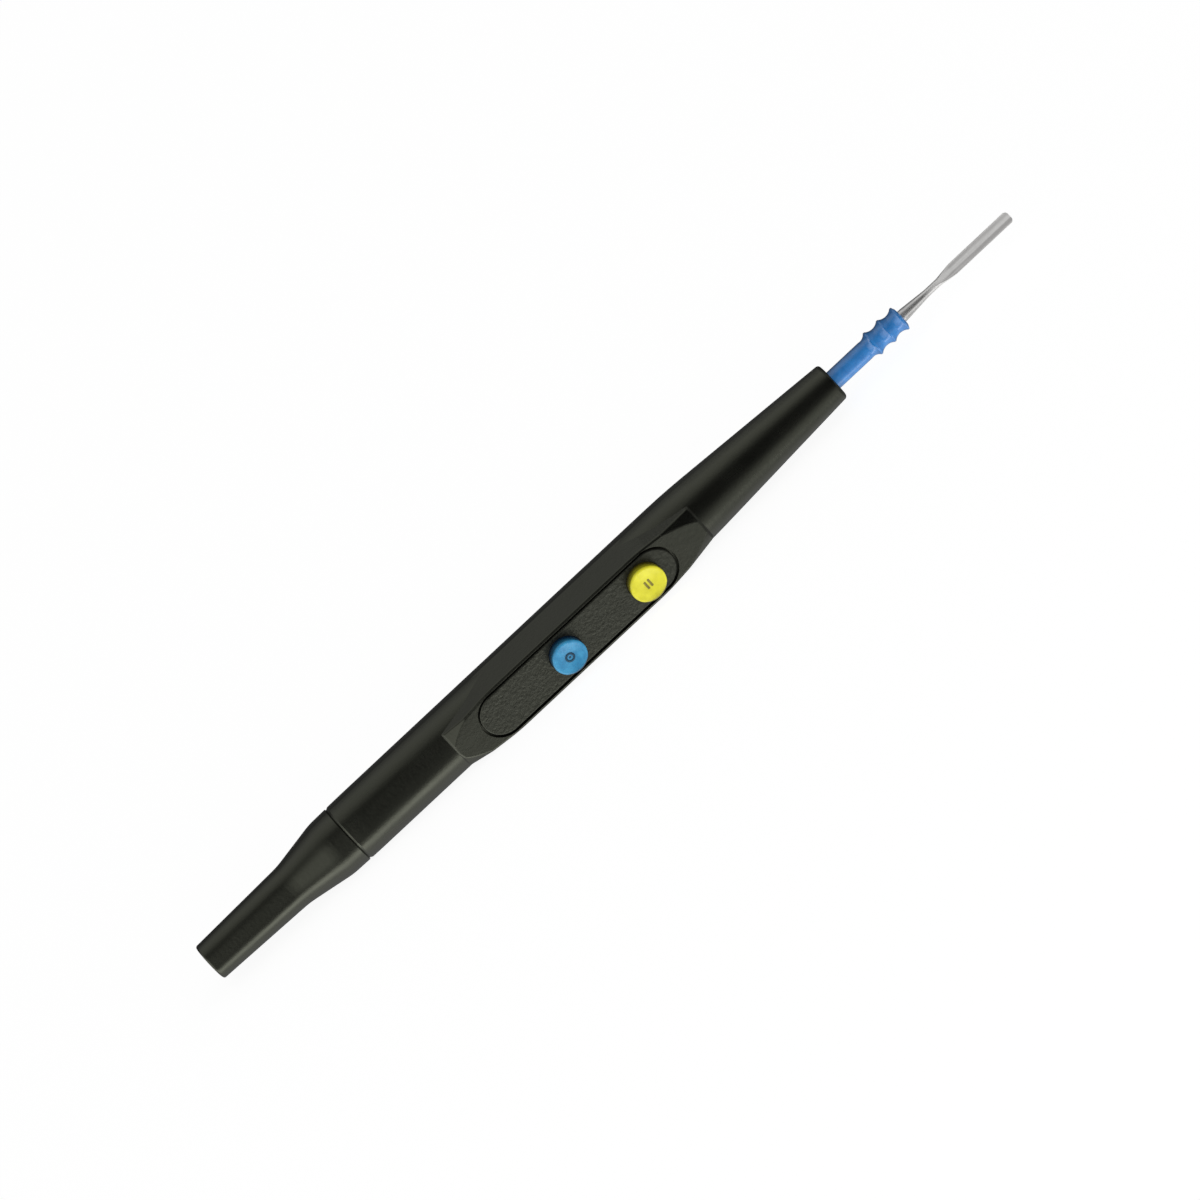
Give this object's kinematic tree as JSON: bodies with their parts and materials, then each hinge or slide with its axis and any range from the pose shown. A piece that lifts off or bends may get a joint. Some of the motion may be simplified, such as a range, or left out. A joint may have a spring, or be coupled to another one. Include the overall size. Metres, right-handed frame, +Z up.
{
  "type": "electrosurgical pencil",
  "caption": "Slim hand-held electrosurgical pencil with a blade electrode, a ribbed sleeve, two push buttons on a raised deck and a round cable inlet.",
  "frame": {"origin": "middle of the whole pencil's box, on the surface that it lies on", "axes": "+X along the pencil towards the electrode's tip, +Z up from the surface; the pencil lies on its side with the buttons facing -Y"},
  "size_m": [0.197, 0.0148, 0.0122],
  "materials": {
    "housing": "moulded black plastic, semi-matt",
    "boot": "moulded black plastic, satin",
    "cover": "finely grained black plastic",
    "cut_yellow": "satin yellow plastic",
    "coag_blue": "satin blue plastic",
    "sleeve_blue": "glossy blue moulded insulation",
    "blade_steel": "fine-brushed stainless steel",
    "spring_steel": "bright spring steel",
    "contact_brass": "turned brass",
    "insulator": "natural nylon",
    "silicone": "grey silicone",
    "seal_rubber": "black nitrile",
    "lead_insulation": "thin PVC insulation",
    "board": "green solder mask"
  },
  "bodies": {
    "handle": {"housing_upper": "housing", "housing_lower": "housing", "tail_boot": "boot", "tail_seal": "seal_rubber", "cable_receptacle": "insulator", "active_contact": "contact_brass", "cut_contact": "contact_brass", "coag_contact": "contact_brass", "active_lead": "lead_insulation", "cut_lead": "lead_insulation", "coag_lead": "lead_insulation", "switch_cover": "cover", "cut_dome": "spring_steel", "coag_dome": "spring_steel", "switch_seal": "silicone", "circuit_board": "board", "contact_strip": "contact_brass", "electrode_socket": "contact_brass", "socket_spring": "spring_steel", "socket_bush": "insulator", "nose_seal": "seal_rubber"},
    "cut_button": {"cut_button": "cut_yellow"},
    "coag_button": {"coag_button": "coag_blue"},
    "electrode": {"electrode": "blade_steel", "electrode_sleeve": "sleeve_blue"}
  },
  "joints": [
    {"name": "cut_press", "type": "slide", "parent": "handle", "child": "cut_button", "axis": [0, 0.9891, 0.1472], "range_m": [0, 0.0006], "stiffness_N_per_m": 3000, "springref_m": -0.0003},
    {"name": "coag_press", "type": "slide", "parent": "handle", "child": "coag_button", "axis": [0, 0.9891, 0.1472], "range_m": [0, 0.0006], "stiffness_N_per_m": 3000, "springref_m": -0.0003},
    {"name": "electrode_pull", "type": "slide", "parent": "handle", "child": "electrode", "axis": [1, 0, 0], "range_m": [0, 0.028]}
  ]
}
